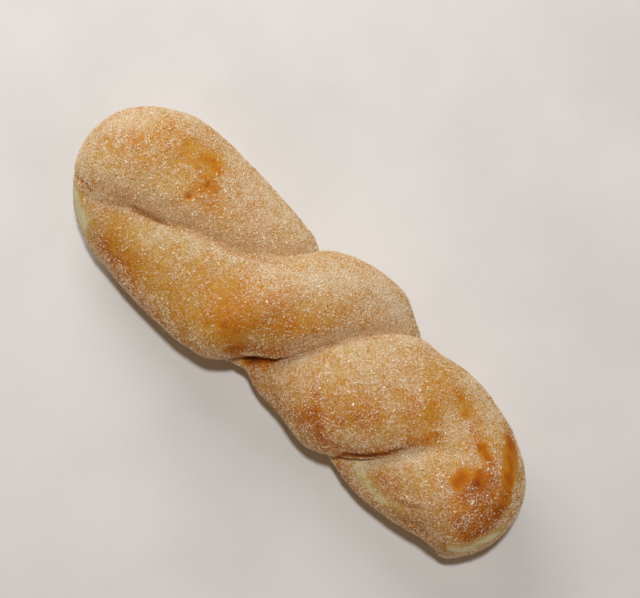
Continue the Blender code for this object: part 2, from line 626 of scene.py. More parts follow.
CREASE_MARKS: tuple[Mark, ...] = (
    # Between the first two lobes: shallow and dusty, with one sharp stretch, and painted shade in it and on
    # the slope above
    Mark(LOOSE_END_CREASE[1:], 1.2, rise=-0.60, painted_shade=0.35, ragged=0.2, taper=0.25),
    Mark(beside(LOOSE_END_CREASE, 2.6), 3.4, rise=-0.35, sugar=0.10, painted_shade=0.25),
    # Across the middle: one lobe overhangs the next at the near end, where the crease is browned dark as
    # painted shade;
    # painted shade lies on the slope above it further on, and a sharp pale lip follows, raised, and paled as
    # painted light
    Mark(MIDDLE_CREASE, 0.7, rise=-0.40, browning=0.16, ragged=0.1, taper=0.25),
    Mark(MIDDLE_CREASE[:4], 1, rise=-0.30, browning=0.58, sugar=-0.8, ragged=0.1, taper=0.15),
    Mark(beside(MIDDLE_CREASE[:4], 2), 2.2, browning=0.22, sugar=-0.15),
    Mark(beside(MIDDLE_CREASE[3:], 2), 2.1, rise=-0.30, sugar=0.18, browning=0.05, painted_shade=0.30),
    Mark(beside(MIDDLE_CREASE[4:], -1.9), 1.9, rise=0.30, browning=-0.12, sugar=0.05),
    # Beside the folded end: deep at the near end and browned dark there as painted shade, with painted shade
    # beside it, and filled with sugar at the other, greyed there with painted shade
    Mark(FOLDED_END_CREASE[:7], 1.1, rise=-0.35, browning=0.75, sugar=-0.8, bare=0.5, ragged=0.3, taper=0.2),
    Mark(beside(FOLDED_END_CREASE[:7], 1.6), 1.6, browning=0.14, painted_shade=0.20),
    Mark(FOLDED_END_CREASE[4:], 1.3, rise=-0.45, sugar=0.45, browning=0.05, painted_shade=0.40, taper=0.25),
    Mark(beside(FOLDED_END_CREASE[2:], -2.2), 2, rise=-0.20, sugar=0.30, browning=-0.10),
)

FOLD_MARKS: tuple[Mark, ...] = (
    # The loose end, tucked under itself, with its fold lines browned dark as painted shade, and pits in its
    # crown
    Mark(((-81.5, -17), (-76.5, -19.5), (-69.5, -23.5)), 4.4, browning=-0.65, sugar=-0.6, bare=0.5),
    Mark(((-81, -14.4), (-77, -14), (-72.5, -15.6)), 0.7, rise=-0.60, browning=0.55, taper=0.25),
    Mark(((-63, -10.2), (-58, -8.4), (-53, -6.4), (-47.5, -4)), 0.6, rise=-0.80, browning=0.75,
         sugar=-0.6, painted_shade=0.2, taper=0.35),
    Mark(((-52, 5),), 0.9, rise=-0.9, browning=0.25, sugar=-0.4),
    Mark(((-82.2, -4.6),), 0.9, rise=-0.7, browning=0.20, sugar=-0.2),
    # The folded end: a pale band below the browned crown, and a wrinkled ridge along it, with painted shade
    # in the groove below
    Mark(((42, -18), (48, -19.8), (55, -20.8), (61, -19)), 2.5, browning=-0.38, sugar=-0.3,
         ragged=0.7),
    Mark(((54, -17.2), (59, -15.8), (65, -12)), 0.9, rise=0.22, sugar=0.20, taper=0.25),
    Mark(((56, -18.4), (60.5, -16.8), (66, -13.2)), 0.7, rise=-0.40, browning=0.20, painted_shade=0.4, taper=0.25),
    Mark(((63, -20.5), (67, -18.3), (72, -18.8)), 0.9, rise=-0.70, browning=0.20, taper=0.25),
    Mark(((74, -15.5), (77, -17), (78.5, -20)), 0.8, rise=-0.60, browning=0.15, taper=0.25),
    Mark(((86, -4), (84.5, -9), (82.5, -13.5), (79.5, -17)), 3, browning=-0.55, sugar=-0.6,
         bare=0.5, ragged=0.5),
    # Where the dough was drawn tight round the bend
    Mark(((-17.7, 10.8), (-11.3, 13.4), (-5.1, 14.9)), 0.6, rise=-0.18, browning=0.05, taper=0.25),
    Mark(((-15.6, 7.4), (-9.5, 10.2), (-3.5, 12.5)), 0.6, rise=-0.15, browning=0.05, taper=0.25),
)

COLOUR_MARKS: tuple[Mark, ...] = (
    # Loose end: a dusty rim, an orange patch on the crown, a dusty slope greyed with painted shade, a top rim
    # paled with sugar and painted light, and painted shade along the valley of the first crease
    Mark(((-86, -6), (-84, 6), (-78, 16), (-70, 21)), 5.5, browning=-0.10, sugar=0.26),
    Mark(((-80, -9), (-68, -7), (-60, -4)), 4.5, browning=-0.06, sugar=0.10),
    Mark(((-62.5, 16), (-57, 16.5)), 4.2, browning=0.07, sugar=-0.32, ragged=0.8),
    Mark(((-49, 12), (-44.5, 11), (-46, 8)), 3, browning=0.08, sugar=-0.22, ragged=0.8),
    Mark(((-53.5, 18.5), (-51.5, 17.5)), 2.2, browning=0.17, sugar=-0.50, bare=0.3),
    Mark(((-52, 13), (-49.5, 12), (-51.5, 8.5)), 2.2, browning=0.15, sugar=-0.30, ragged=0.7),
    Mark(((-73, 18.5), (-71, 16.5)), 2, browning=0.14, sugar=-0.20, ragged=0.8),
    Mark(((-78, 7), (-75.5, 6)), 1.8, browning=0.12, ragged=0.8),
    Mark(((-42, 15), (-34, 14), (-26, 12)), 6.5, sugar=0.30, painted_shade=0.22),
    Mark(((-40, 18.5), (-32, 18)), 3, browning=-0.05, sugar=0.15),
    Mark(((-78, 12), (-66, 10), (-60, 4)), 5, browning=-0.08, sugar=-0.04, ragged=0.6),
    Mark(((-35.5, 15.5), (-31, 13)), 2.2, browning=0.18, sugar=-0.10, ragged=0.7),
    Mark(((-50, 23.5), (-36, 23), (-24, 21.5), (-14, 18.5)), 3.4, browning=-0.18, sugar=0.18),
    Mark(((-68, -10.5), (-62, -8.5), (-51, -4.5), (-39, 1), (-27, 6.5)), 3.6, painted_shade=0.40),
    Mark(((-68, -7.5), (-62, -5.5), (-52, -1)), 4.5, painted_shade=0.16, sugar=0.10),
    Mark(((-47, -1.8), (-38, 1.8), (-28, 5.3), (-20, 8.3)), 2.2, painted_shade=0.26),
    Mark(((-20, 9), (-16, 13), (-13, 18)), 2.6, browning=-0.06, sugar=0.20, painted_shade=0.12),
    # Middle: a ridge paled with sugar and painted light, orange below it, a near lower rim browned as painted
    # shade, a sugary bend, painted shade on slopes that face away from the light, and top rims paled with
    # sugar and painted light
    Mark(((-55, -14), (-47, -12), (-40, -7.5)), 4.2, browning=-0.14, sugar=0.04),
    Mark(((-50, -7.5), (-40, -3), (-30, 1), (-20, 4.5)), 2.6, browning=-0.12, sugar=0.20),
    Mark(((-20, 5.5), (-12, 9), (-6, 14)), 3.6, browning=-0.08, sugar=0.22),
    Mark(((-30, -9.5), (-18, -8), (-5, -3), (4, 3)), 4.5, browning=0.04, sugar=-0.16),
    Mark(((-60, -22.5), (-56, -22.5), (-50, -22.5)), 3.8, browning=0.19, sugar=-0.22, ragged=0.7),
    Mark(((-64, -23.5), (-50, -27.5), (-32, -28.5), (-16, -27)), 3.6, browning=0.14),
    Mark(((-20, -14.5), (-14, -16), (-9, -17)), 4.2, browning=0.05, sugar=-0.20),
    Mark(((-60, -17), (-45, -19.5), (-28, -21.5), (-15, -18)), 6, sugar=-0.20, ragged=0.6),
    Mark(((-14, -12), (-6, -8), (0, -3)), 4.5, browning=0.02, sugar=-0.12, ragged=0.6),
    Mark(((-9, -20), (-4, -17)), 2.8, browning=0.24, sugar=-0.20),
    Mark(((-4, -19.8), (-1, -17.6), (1.5, -15.6)), 1.4, browning=0.20, sugar=-0.20),
    Mark(((-6, 17), (2, 22), (12, 25), (21, 22)), 6, browning=-0.06, sugar=0.32),
    Mark(((10, -11), (14, -5), (20, 4), (27, 12)), 5.2, browning=-0.02, sugar=0.10),
    Mark(((32, 12), (30, 6)), 5, browning=-0.04, sugar=0.16),
    Mark(((18, -12), (28, -12), (36, -7)), 4.8, browning=0.16, sugar=-0.10, ragged=0.6),
    Mark(((8, -20.5), (20, -21), (32, -21.5)), 3.6, browning=0.13, sugar=-0.08, painted_shade=0.20, ragged=0.6),
    Mark(((19.5, -19), (22, -16.8), (26, -18.5), (29, -20)), 2.6, browning=0.26, sugar=-0.22, ragged=0.8),
    Mark(((32, -19), (35, -18), (38, -16)), 1.8, browning=0.26, ragged=0.8),
    Mark(((-8, -15.5), (-2, -12), (2, -6.5), (4.5, -2)), 2.4, browning=0.06, painted_shade=0.25),
    Mark(((0, -22), (10, -24), (20, -26), (31, -25.5)), 2.2, browning=0.24, sugar=-0.10),
    Mark(((38, -24), (50, -25), (62, -23), (74, -21)), 1.7, browning=0.26, sugar=-0.10),
    Mark(((41, 19), (46, 13), (48, 6)), 5.4, sugar=-0.14, ragged=0.8),
    Mark(((14, 6), (19, 11), (24, 17)), 2.5, browning=-0.05, sugar=0.15, painted_shade=0.18),
    Mark(((8, 28), (19, 25.5), (29, 21)), 2.8, browning=-0.18, sugar=0.14),
    Mark(((48, 24), (58, 22), (67, 18.5)), 3, browning=-0.18, sugar=0.16),
    Mark(((46, 10.5), (48, 7.5)), 2.2, browning=0.06, sugar=-0.25, ragged=0.8),
    Mark(((50.5, 18), (54, 16.5)), 2.6, browning=0.13, sugar=-0.35, ragged=0.8),
    # Folded end: a glazed crown with bare spots, clumps of sugar and a pale foot, and painted shade on its
    # near lower slope and edge
    Mark(((52, 12), (57, 8), (59, 14)), 3.8, browning=-0.06, sugar=0.20),
    Mark(((54, -5), (58, -8), (63, -9)), 4.5, browning=-0.02, sugar=0.02),
    Mark(((49, -1.5), (51.5, 0.5), (53, 4.5)), 2.3, browning=0.20, sugar=-0.20, ragged=0.8),
    Mark(((69, 18), (73.5, 15), (77.5, 10), (80.5, 4)), 3.6, browning=0.12, sugar=-0.20),
    Mark(((73, 5), (76, -1), (76.5, -8)), 4.8, browning=0.26, sugar=-0.18, ragged=0.6),
    Mark(((48, -12.5), (58, -15), (70, -15)), 4.5, browning=0.07, sugar=0.02, painted_shade=0.34),
    Mark(((81.5, -1.5), (82, -6), (79.5, -11)), 3, browning=0.26, sugar=-0.22, ragged=0.6),
    Mark(((48.5, -16), (51, -16.5), (55, -15.5)), 2.2, browning=0.22, sugar=-0.10, ragged=0.7),
    Mark(((60, -21.5), (66, -18.5), (73, -18.5), (79, -18.5)), 2.8, browning=0.26, sugar=0.05,
         painted_shade=0.56, ragged=0.5),
    Mark(((60, 14), (63.5, 12.5)), 2.4, browning=0.14, sugar=-0.25, ragged=0.8),
    Mark(((61, 9), (64, 7)), 2.5, browning=0.06, sugar=-0.22, ragged=0.8),
    Mark(((70.5, 10), (73.5, 7)), 2.2, browning=0.17, sugar=-0.15, ragged=0.8),
    Mark(((66.9, -1.2), (66.9, 1.4)), 1.5, browning=0.25, sugar=-1.5, bare=1.8, ragged=0),
    Mark(((70.2, 5), (71, 3.5)), 1.5, browning=0.34, sugar=-0.60, bare=0.5, ragged=0.2),
    Mark(((71.5, 0.5), (70.5, -3.5)), 1.5, browning=0.18, sugar=-0.15, ragged=0.9),
    Mark(((65.5, 11.5), (68.5, 10.5)), 1.7, browning=0.16, sugar=-0.45, bare=0.25, ragged=0.9),
    Mark(((70.5, 18.5), (73.5, 15.5), (76.5, 11.5)), 2.4, browning=0.24, sugar=-1.2, bare=1.4, ragged=0.5),
    Mark(((78, 10), (81, 5), (82.5, 0)), 1.6, browning=0.10, sugar=-0.15, ragged=0.6),
    Mark(((62.5, 11), (64, 8), (64, 5)), 1.6, sugar=0.20, ragged=1.4),
    Mark(((69.5, 8.5), (73, 9), (75, 5)), 1.8, sugar=0.14, ragged=1.4),
    Mark(((73, -1.5), (75.5, -5), (78, -9)), 2.2, sugar=0.18, ragged=1.4),
    Mark(((43, 3), (46, 0.5)), 2.2, browning=0.08, sugar=-0.10, ragged=1),
)


def distance_to_path(points: np.ndarray, path: np.ndarray) -> tuple[np.ndarray, np.ndarray]:
    """Finds where a path comes nearest to each point.

    Args:
        points: the points, a row each.
        path: the path's own points, a row each.

    Returns:
        Each point's distance to the path, and how far along the path the nearest spot is, from 0 to 1.
    """
    nearest = np.full(len(points), np.inf)
    onward = np.zeros(len(points))
    following = path[1:] if len(path) > 1 else path
    for number, (start, end) in enumerate(zip(path, following)):
        run = end - start
        share = np.clip((points - start) @ run / max(run @ run, TINY), 0, 1)
        apart = np.linalg.norm(points - start - share[:, None] * run, axis=1)
        onward = np.where(apart < nearest, (number + share) / len(following), onward)
        nearest = np.minimum(nearest, apart)
    return nearest, onward


@dataclass(frozen=True)
class Underside:
    """The side that nothing shows, with blotches that the oil and the turning left on it.

    Each size is the range that a blotch's own is drawn from, in millimetres.
    """

    blotches: int = 46
    seed: int = 11
    along: tuple[float, float] = (-80, 80)
    across: tuple[float, float] = (-21, 21)
    run: tuple[float, float] = (2, 12)
    reach: tuple[float, float] = (1.8, 5.0)
    rise: tuple[float, float] = (-0.25, 0.15)
    browning: tuple[float, float] = (-0.20, 0.26)
    sugar: tuple[float, float] = (-0.45, 0.35)
    ragged: float = 0.7

    def marks(self) -> Iterator[Mark]:
        """Draws the blotches."""
        draw = np.random.default_rng(self.seed)
        for _ in range(self.blotches):
            x = draw.uniform(*self.along)
            y = draw.uniform(*self.across)
            run = draw.uniform(*self.run)
            way = draw.uniform(0, math.tau)
            yield Mark(
                ((x, y), (x + run * math.cos(way), y + run * math.sin(way))),
                draw.uniform(*self.reach),
                rise=draw.uniform(*self.rise),
                browning=draw.uniform(*self.browning),
                sugar=draw.uniform(*self.sugar),
                ragged=self.ragged,
            )


@dataclass(frozen=True)
class Unevenness:
    """A wandering of the crust, of one size.

    Attributes:
        name: what it is called.
        seed: the seed of its noise.
        size: how large its patches are, in metres.
        detail: how much finer detail they have.
        rise: how far it lifts and presses the crust, in millimetres.
        browning: how far it changes the browning.
        sugar: how far it changes the sugar.
    """

    name: str
    seed: int
    size: float
    detail: float
    rise: float = 0.0
    browning: float = 0.0
    sugar: float = 0.0


UNEVENNESS: tuple[Unevenness, ...] = (
    Unevenness("drift", 3, 13 * MM, 2.0, browning=0.11),
    Unevenness("swell", 0, 24 * MM, 1.0, rise=0.28),
    Unevenness("ripple", 1, 7 * MM, 2.0, rise=0.18, browning=0.07),
    Unevenness("pore", 2, 1.6 * MM, 2.0, rise=0.06),
    Unevenness("clump", 5, 4.5 * MM, 3.0, sugar=0.17),
    Unevenness("mottle", 4, 3.2 * MM, 2.0, browning=0.05, sugar=0.20),
)


@dataclass
class Crust:
    """The points of the crust, what the twisting, the oil and the sugar made of each, and the painted shade
    and light on it.

    Rises, foot_height and the belt's height and width are in millimetres. Browning, sugar, bareness and
    painted shade go from 0 to 1.

    Attributes:
        mesh: the dough's mesh, with the unevenness stored on it.
        sink: how far the whole crust lies in, to leave room for what stands out.
        belt_height: where the dough floated out of the oil and stayed pale.
        no_sugar_below: the height up to which there is no sugar, in metres.
        mark_fade: how many reaches away a mark has faded to nothing.
        edge_limits: how far the unevenness can draw a mark's edge in and out.
        over_browning: what browning beyond full_browning still counts.
    """

    mesh: bpy.types.Mesh
    noise_gain: float = 4.0
    sink: float = 0.10
    pit_depth: float = 0.20
    pit_start: float = 1.0
    highest_rise: float = 0.22
    base_browning: float = 0.45
    crown_browning: float = 0.05
    base_sugar: float = 0.415
    crease_sugar: float = 0.12
    crease_width: float = 0.13
    belt_height: float = 12.5
    belt_height_wander: float = 3.0
    belt_width: float = 4.2
    belt_width_wander: float = 1.2
    belt_paleness: float = 0.34
    belt_paleness_wander: float = 0.18
    palest: float = 0.7
    # How far the crust is darkened along its browning ramp towards the floor.
    foot_darkening: float = 0.10
    foot_height: float = 5.0
    foot_rounding: float = 0.5 * MM
    no_sugar_below: float = 0.8 * MM
    mark_fade: float = 3.2
    edge_mottle: float = 0.45
    edge_ripple: float = 0.35
    edge_limits: tuple[float, float] = (0.65, 2.5)
    inner_mottle: float = 0.8
    strongest: float = 1.6
    full_browning: float = 0.70
    over_browning: float = 0.45
    bare_gain: float = 1.3
    # The most painted shade that is kept.
    most_painted_shade: float = 0.8

    def __post_init__(self) -> None:
        """Reads the points, and gives each what the unevenness alone makes of it."""
        self.places = self.read(self.mesh.vertices, "co", 3)
        self.outward = self.read(self.mesh.vertex_normals, "vector", 3)
        self.wander = {kind.name: (self.stored(kind.name) - 0.5) * self.noise_gain for kind in UNEVENNESS}
        crown = self.stored("crown")
        in_crease = np.exp(-((crown / self.crease_width) ** 2))
        pits = self.pit_depth * np.clip(self.wander["pore"] - self.pit_start, 0, None)
        self.rise = self.summed("rise", 0.0) - pits - self.sink
        self.browning = self.summed("browning", self.base_browning) + self.crown_browning * crown
        self.sugar = self.summed("sugar", self.base_sugar) + self.crease_sugar * in_crease
        self.bare = np.zeros(len(crown))
        # Painted shade, which the marks lay into valleys and onto slopes that face away from the light.
        self.painted_shade = np.zeros(len(crown))

    def read(self, values: bpy.types.bpy_prop_collection, key: str, width: int) -> np.ndarray:
        """Reads so many numbers of each point, a row each."""
        found = np.empty(len(values) * width, np.float32)
        values.foreach_get(key, found)
        return found.reshape(-1, width)

    def stored(self, name: str) -> np.ndarray:
        """Reads a value that is stored on the mesh."""
        return self.read(self.mesh.attributes[name].data, "value", 1)[:, 0]

    def summed(self, effect: str, start: float) -> np.ndarray:
        """Adds up what the unevenness does in one way: its rise, browning or sugar."""
        return sum((getattr(kind, effect) * self.wander[kind.name] for kind in UNEVENNESS), start=start)

    def float_in_oil(self) -> None:
        """Keeps a belt round the sides pale, and darkens the crust towards the floor."""
        height = self.places[:, 2] / MM
        middle = self.belt_height + self.belt_height_wander * self.wander["swell"]
        width = self.belt_width + self.belt_width_wander * self.wander["drift"]
        belt = np.exp(-(((height - middle) / width) ** 2))
        paleness = self.belt_paleness + self.belt_paleness_wander * self.wander["ripple"]
        self.browning -= belt * np.clip(paleness, 0, self.palest)
        self.browning += self.foot_darkening * np.exp(-((height / self.foot_height) ** 2))

    def take(self, mark: Mark, path: np.ndarray) -> None:
        """Takes on a mark.

        Args:
            mark: the mark.
            path: its path, laid on the crust, in metres.
        """
        far = self.mark_fade * mark.reach * MM
        within = (self.places > path.min(0) - far) & (self.places < path.max(0) + far)
        near = np.all(within, axis=1).nonzero()[0]
        mottle, ripple, clump = (self.wander[name][near] for name in ("mottle", "ripple", "clump"))
        apart, share = distance_to_path(self.places[near], path)
        edge = 1 + mark.ragged * (self.edge_mottle * mottle + self.edge_ripple * ripple)
        strength = np.exp(-((apart / (mark.reach * MM) * np.clip(edge, *self.edge_limits)) ** 2))
        strength *= np.clip(1 + mark.ragged * (clump + self.inner_mottle * mottle), 0, self.strongest)
        if mark.taper > 0:
            strength *= np.sqrt(np.clip(np.minimum(share, 1 - share) / mark.taper, 0, 1))
        for effect in ("rise", "browning", "sugar", "bare", "painted_shade"):
            values = getattr(self, effect)
            values[near] += getattr(mark, effect) * strength

    def settle(self) -> None:
        """Moves the points, and flattens the feet on the table."""
        moved = self.places + self.outward * (np.minimum(self.rise, self.highest_rise) * MM)[:, None]
        foot = self.foot_rounding
        low = moved[:, 2]
        moved[:, 2] = np.where(low > foot, low, np.where(low < -foot, 0, (low + foot) ** 2 / (4 * foot)))
        self.mesh.vertices.foreach_set("co", moved.astype(np.float32).ravel())
        self.mesh.update()
        self.sugar[moved[:, 2] < self.no_sugar_below] = 0

    def store(self) -> None:
        """Stores the results on the mesh, in place of what they were worked out from."""
        well_browned = np.maximum(self.browning - self.full_browning, 0)
        results = {
            "browning": (self.browning - well_browned * (1 - self.over_browning), 1),
            "sugar": (self.sugar, 1),
            "bare": (self.bare * self.bare_gain, 1),
            "painted_shade": (self.painted_shade, self.most_painted_shade),
        }
        for name in ("crown", *(kind.name for kind in UNEVENNESS)):
            self.mesh.attributes.remove(self.mesh.attributes[name])
        for name, (values, most) in results.items():
            kept = np.clip(values, 0, most).astype(np.float32)
            self.mesh.attributes.new(name, "FLOAT", "POINT").data.foreach_set("value", kept)


@dataclass
class Dough:
    """The dough: two strands twisted together and merged, then pressed, wrinkled and browned.

    Attributes:
        coat: how far the dough lies inside the solid, so that the sugar on it doesn't stand out of its box.
        loose_end_rounding: how far the end takes to close, seen from above and from the side.
        closing_margin: what leaves no sliver where an end closes.
        lump_fade: how soon the lumps come to their full rise from the tip of an end.
    """

    length: float = 0.175
    half_width: float = 0.027
    half_height: float = 0.0200
    mid_height: float = 0.0186
    coat: float = 0.32 * MM
    loose_end_rounding: tuple[float, float] = (0.030, 0.024)
    folded_end_rounding: tuple[float, float] = (0.015, 0.018)
    sections: int = 400
    sides: int = 244
    section_crowding: float = 0.6
    side_crowding: float = 0.22
    valley_rounding: float = 0.02
    crease_half_angle: float = math.radians(9)
    crease_sharpness: float = 1.5
    closing_margin: float = 1e-6
    lump_fade: float = 4.0
    weld: float = 0.01 * MM
    first_crease_degrees: Stations = Stations((
        (-0.088, 172), (-0.072, 145), (-0.061, 120), (-0.041, 90), (-0.024, 70), (-0.015, 42),
        (-0.0115, 0), (-0.007, -16), (0.004, -45), (0.009, -73), (0.022, -138), (0.0335, -180),
        (0.041, -202), (0.053, -262), (0.088, -340),
    ))
    second_crease_lead_degrees: Stations = Stations((
        (-0.050, 0), (-0.030, -15), (-0.020, -22), (-0.015, -16), (-0.011, 10), (-0.007, 16),
        (0.004, 13), (0.015, 0), (0.030, -12), (0.050, 0),
    ))
    girth: Stations = Stations((
        (-0.088, 1.06), (-0.060, 1.01), (-0.028, 1.02), (-0.018, 1.03), (-0.010, 1.09), (-0.004, 0.99),
        (0.003, 1.02), (0.012, 0.96), (0.023, 1.05), (0.030, 1.10), (0.036, 1.02), (0.048, 0.95),
        (0.066, 0.84), (0.073, 0.75), (0.088, 0.69),
    ))
    sway: Stations = Stations((
        (-0.088, -0.0002), (-0.062, -0.0010), (-0.030, -0.0026), (-0.012, -0.0030), (-0.003, 0.0030),
        (0.006, 0.0031), (0.014, 0.0038), (0.026, 0.0006), (0.033, -0.0002), (0.042, 0.0005),
        (0.068, 0.0002), (0.079, -0.0021), (0.088, -0.0022),
    ))
    strand_spread: Stations = Stations((
        (-0.088, 0.10), (-0.070, 0.22), (-0.040, 0.24), (0.000, 0.30), (0.030, 0.28), (0.052, 0.22),
        (0.066, 0.10), (0.080, 0.0),
    ))
    first_crease_depth: Stations = Stations((
        (-0.088, 0.0), (-0.066, 0.0), (-0.058, 0.05), (-0.050, 0.03), (-0.012, 0.03), (0.030, 0.10),
        (0.042, 0.11), (0.052, 0.06), (0.058, 0.0),
    ))
    second_crease_depth: Stations = Stations((
        (-0.088, 0.0), (-0.060, 0.05), (-0.020, 0.08), (-0.004, 0.16), (0.008, 0.09), (0.040, 0.07),
        (0.075, 0.0),
    ))
    # x, degrees round the twist, rise and reach: where the folded end is tucked under, how the middle lobe
    # bulges over the crease beside it, and the uneven foot of the folded end
    lumps: tuple[tuple[float, float, float, float], ...] = (
        (0.0795, -165, 0.0016, 0.0042),
        (0.0720, -172, -0.0012, 0.0050),
        (-0.0740, 190, 0.0009, 0.0065),
        (-0.0620, 186, 0.0004, 0.0065),
        (-0.0065, 184, 0.0020, 0.0042),
        (0.0015, 184, 0.0017, 0.0055),
        (0.0125, 182, 0.0008, 0.0050),
        (0.0240, 182, 0.0013, 0.0060),
        (0.0400, 182, 0.0011, 0.0070),
        (0.0620, -170, -0.0008, 0.0022),
        (0.0665, -172, 0.0007, 0.0020),
        (0.0700, -168, -0.0006, 0.0016),
        (0.0845, -158, 0.0006, 0.0024),
    )
    underside: Underside = Underside()
    finish: CrustFinish = field(default_factory=CrustFinish)

    def closing(self, x: Term, roundings: tuple[Term, Term], half_length: Term) -> Term:
        """Gives the share of its full size that a section near an end still has: a quarter of an ellipse."""
        loose, folded = roundings
        rounding = folded + x.below(0.0) * (loose - folded)
        into_end = (x.magnitude() - half_length + rounding).at_least(0.0) / rounding
        return (1 - into_end * into_end - self.closing_margin).at_least(0.0).root()

    def notch(self, depth: Term, from_crease: Term) -> Term:
        """Gives how far a crease cuts into the section at an angle away from its bottom."""
        share = from_crease.half_turn_wrapped().magnitude() / self.crease_half_angle
        return depth * (share ** self.crease_sharpness * -1.0).exponential()

    def section_radius(self, recipe: ShapeRecipe, x: Term, angle: Term) -> Term:
        """Gives the radius at an angle from the first crease, as a share of the merged strands' reach."""
        spread = self.strand_spread.along(recipe, x)
        out_of_valley = (angle.sine() ** 2.0 + self.valley_rounding ** 2).root()
        across = spread * angle.cosine()
        radius = (spread * out_of_valley + (1 - across * across).root()) / (1 + spread)
        first = self.notch(self.first_crease_depth.along(recipe, x), angle)
        second = self.notch(self.second_crease_depth.along(recipe, x), angle - math.pi)
        return radius - first - second

    def lump_rise(self, recipe: ShapeRecipe, x: Term, direction: Term, distance: Term) -> Term:
        """Gives how far the lumps push the crust out."""
        rise = x * 0.0
        for lump_x, degrees, height, reach in self.lumps:
            sideways = distance * (direction - math.radians(degrees)).half_turn_wrapped()
            onward = x - lump_x
            apart = (onward * onward + sideways * sideways) / (reach * reach)
            rise = rise + (apart * -1.0).exponential() * height
        return rise

    def loft(self, material: bpy.types.Material) -> bpy.types.Object:
        """Lofts the dough through its sections, as Geometry Nodes on a flat net.

        Args:
            material: what the dough is made of.

        Returns:
            The dough, with its unevenness and the crowns between its creases stored on its points.
        """
        recipe = ShapeRecipe("twisted_dough")
        length = recipe.size("Length", self.length - 2 * self.coat)
        half_width = recipe.size("Half width", self.half_width - self.coat)
        half_height = recipe.size("Half height", self.half_height - self.coat)
        mid_height = recipe.size("Middle height", self.mid_height)
        views = ("above", "side")
        loose = [recipe.size(f"Loose end rounding {v}", r) for v, r in zip(views, self.loose_end_rounding)]
        folded = [recipe.size(f"Folded end rounding {v}", r) for v, r in zip(views, self.folded_end_rounding)]
        sections = recipe.size("Sections", self.sections)
        sides = recipe.size("Sides", self.sides)
        section_crowding = recipe.size("Section crowding", self.section_crowding)
        side_crowding = recipe.size("Side crowding", self.side_crowding)

        net = recipe.node(
            "GeometryNodeMeshGrid",
            {"Size X": 1.0, "Size Y": 1.0, "Vertices X": sections + 1, "Vertices Y": sides + 1},
        )
        spot = recipe.node("ShaderNodeSeparateXYZ", {"Vector": recipe.place()})
        even = recipe.out(spot, "X") * 2
        turn = (recipe.out(spot, "Y") + 0.5) * math.tau
        half_length = length / 2
        crowded = (even * (math.pi / 2)).sine()
        x = half_length * (even + section_crowding * (crowded - even))
        angle = turn - side_crowding * (turn * 2).sine()

        radius = self.section_radius(recipe, x, angle)
        lead = self.second_crease_lead_degrees.along(recipe, x) * (1 - angle.cosine()) / 2
        first_crease = self.first_crease_degrees.along(recipe, x)
        direction = (first_crease + lead) * math.radians(1) + angle
        from_above, from_the_side = (self.closing(x, pair, half_length) for pair in zip(loose, folded))
        outward = half_width * self.girth.along(recipe, x) * from_above * radius
        lump = self.lump_rise(recipe, x, direction, outward) * (from_above * self.lump_fade).at_most(1.0)
        y = self.sway.along(recipe, x) + (outward + lump) * direction.cosine()
        z = mid_height + (half_height * from_the_side * radius + lump) * direction.sine()

        crowned = recipe.kept(recipe.out(net, "Mesh"), "crown", angle.sine().magnitude())
        point = recipe.node("ShaderNodeCombineXYZ", {"X": x, "Y": y, "Z": z})
        bent = recipe.node(
            "GeometryNodeSetPosition",
            {"Geometry": crowned, "Position": recipe.out(point, "Vector")},
        )
        closed = recipe.node(
            "GeometryNodeMergeByDistance",
            {"Geometry": recipe.out(bent, "Geometry"), "Distance": self.weld},
        )
        turned_out = recipe.node("GeometryNodeFlipFaces", {"Mesh": recipe.out(closed, "Geometry")})
        dough = recipe.out(turned_out, "Mesh")
        place = recipe.place()
        for kind in UNEVENNESS:
            noise = recipe.noise(place, kind.size, kind.detail, float(kind.seed))
            dough = recipe.kept(dough, kind.name, noise)
        recipe.finish(dough, material)
        return recipe.run("sugared_dough", bpy.data.meshes.new("start"))

    def laid(self, tree: BVHTree, path: Places, laying: Laying) -> np.ndarray:
        """Lays a path on the crust.

        Args:
            tree: the crust.
            path: the path, at the doughnut's middle height, in millimetres.
            laying: how it is laid.

        Returns:
            The path's points on the crust, a row each, in metres.
        """
        straight = {Laying.FROM_ABOVE: Vector((0, 0, -1)), Laying.FROM_BELOW: Vector((0, 0, 1))}
        eye = Viewpoint().eye()
        found = []
        for x, y in path:
            middle = Vector((x * MM, y * MM, self.mid_height))
            way = straight.get(laying, (middle - eye).normalized())
            spot = tree.ray_cast(middle - way * self.length, way)[0]
            found.append(spot or tree.find_nearest(middle)[0])
        return np.array(found)

    def press_and_brown(self, piece: bpy.types.Object) -> None:
        """Lays every mark on the crust and stores what comes of them."""
        tree = BVHTree.FromObject(piece, bpy.context.evaluated_depsgraph_get())
        crust = Crust(piece.data)
        crust.float_in_oil()
        marks = [
            *((mark, Laying.FROM_ABOVE) for mark in CREASE_MARKS),
            *((mark, Laying.AS_SEEN) for mark in (*FOLD_MARKS, *COLOUR_MARKS)),
            *((mark, Laying.FROM_BELOW) for mark in self.underside.marks()),
        ]
        for mark, laying in marks:
            crust.take(mark, self.laid(tree, mark.path, laying))
        crust.settle()
        crust.store()

    def build(self) -> bpy.types.Object:
        """Makes the dough and puts it in the solid's place."""
        piece = self.loft(self.finish.material())
        self.press_and_brown(piece)
        piece.data.shade_smooth()
        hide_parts(SOLID)
        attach(piece, BODY)
        return piece


class Grain(Enum):
    """The shape of a sugar grain."""

    BLOCK = "block"
    CHIP = "chip"
    SPLINTER = "splinter"


@dataclass(frozen=True)
class SugarKind:
    """One kind of sugar grain on the crust.

    Attributes:
        name: the name of its piece.
        grain: the shape of a grain.
        size: how large a grain is across, in metres.
        count: about how many there are.
        liking: how strongly it keeps to the sugary places, as a power.
        seed: the seed of its random draws.
    """

    name: str
    grain: Grain
    size: float
    count: int
    liking: float
    seed: int


